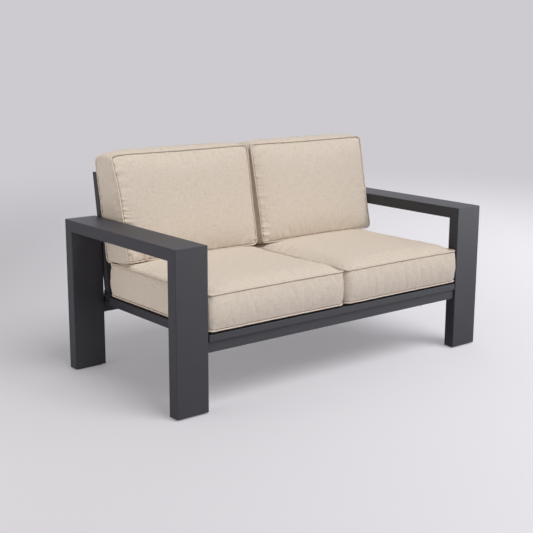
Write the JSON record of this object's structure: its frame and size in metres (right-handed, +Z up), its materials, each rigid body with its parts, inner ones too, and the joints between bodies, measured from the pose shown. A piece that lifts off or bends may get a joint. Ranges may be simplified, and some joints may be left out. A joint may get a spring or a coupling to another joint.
{
  "type": "patio loveseat",
  "caption": "Outdoor two-seat sofa: wide open arm panels of dark coated tube, slatted seat and leaning back, with loose boxed beige cushions.",
  "frame": {"origin": "on the floor, below the middle of the overall width and depth", "axes": "+Z up; the front faces -Y; +X runs to the right of someone who faces the front, along the width"},
  "size_m": [1.536, 0.7774, 0.8553],
  "materials": {
    "coated_aluminium": "satin powder coat",
    "moulded_plastic": "matte",
    "fastener_steel": "plated",
    "cushion_fabric": "woven"
  },
  "bodies": {
    "frame": {"front_beam": "coated_aluminium", "rear_beam": "coated_aluminium", "beam_joint_blocks": "coated_aluminium", "beam_screws": "fastener_steel", "seat_front_rail": "coated_aluminium", "seat_rear_rail": "coated_aluminium", "seat_left_rail": "coated_aluminium", "seat_right_rail": "coated_aluminium", "seat_centre_rail": "coated_aluminium", "seat_front_rail_end_caps": "moulded_plastic", "seat_rear_rail_end_caps": "moulded_plastic", "frame_bolts": "fastener_steel", "frame_bolt_washers": "fastener_steel", "frame_weld_nuts": "fastener_steel", "back_bottom_rail": "coated_aluminium", "back_bottom_rail_end_caps": "moulded_plastic", "back_top_rail": "coated_aluminium", "back_left_post": "coated_aluminium", "back_right_post": "coated_aluminium", "back_centre_post": "coated_aluminium", "back_bolts": "fastener_steel", "back_bolt_washers": "fastener_steel", "back_weld_nuts": "fastener_steel", "left_front_leg": "coated_aluminium", "left_rear_leg": "coated_aluminium", "left_armrest": "coated_aluminium", "left_front_foot": "moulded_plastic", "left_rear_foot": "moulded_plastic", "right_front_leg": "coated_aluminium", "right_rear_leg": "coated_aluminium", "right_armrest": "coated_aluminium", "right_front_foot": "moulded_plastic", "right_rear_foot": "moulded_plastic", "seat_slat_1": "coated_aluminium", "back_slat_1": "coated_aluminium", "seat_slat_2": "coated_aluminium", "back_slat_2": "coated_aluminium", "seat_slat_3": "coated_aluminium", "back_slat_3": "coated_aluminium", "seat_slat_4": "coated_aluminium", "back_slat_4": "coated_aluminium", "seat_slat_5": "coated_aluminium", "back_slat_5": "coated_aluminium", "seat_slat_6": "coated_aluminium", "back_slat_6": "coated_aluminium", "seat_slat_7": "coated_aluminium", "back_slat_7": "coated_aluminium", "seat_slat_8": "coated_aluminium", "back_slat_8": "coated_aluminium"},
    "left_seat_cushion": {"left_seat_cushion": "cushion_fabric"},
    "right_seat_cushion": {"right_seat_cushion": "cushion_fabric"},
    "left_back_cushion": {"left_back_cushion": "cushion_fabric"},
    "right_back_cushion": {"right_back_cushion": "cushion_fabric"}
  },
  "joints": [
    {"name": "left_seat_cushion_slide", "type": "slide", "parent": "frame", "child": "left_seat_cushion", "axis": [0, -0.9994, 0.0349], "range_m": [0, 0.69]},
    {"name": "right_seat_cushion_slide", "type": "slide", "parent": "frame", "child": "right_seat_cushion", "axis": [0, -0.9994, 0.0349], "range_m": [0, 0.69]},
    {"name": "left_back_cushion_lift", "type": "slide", "parent": "frame", "child": "left_back_cushion", "axis": [0, 0.1426, 0.9898], "range_m": [0, 0.36]},
    {"name": "right_back_cushion_lift", "type": "slide", "parent": "frame", "child": "right_back_cushion", "axis": [0, 0.1426, 0.9898], "range_m": [0, 0.36]}
  ]
}
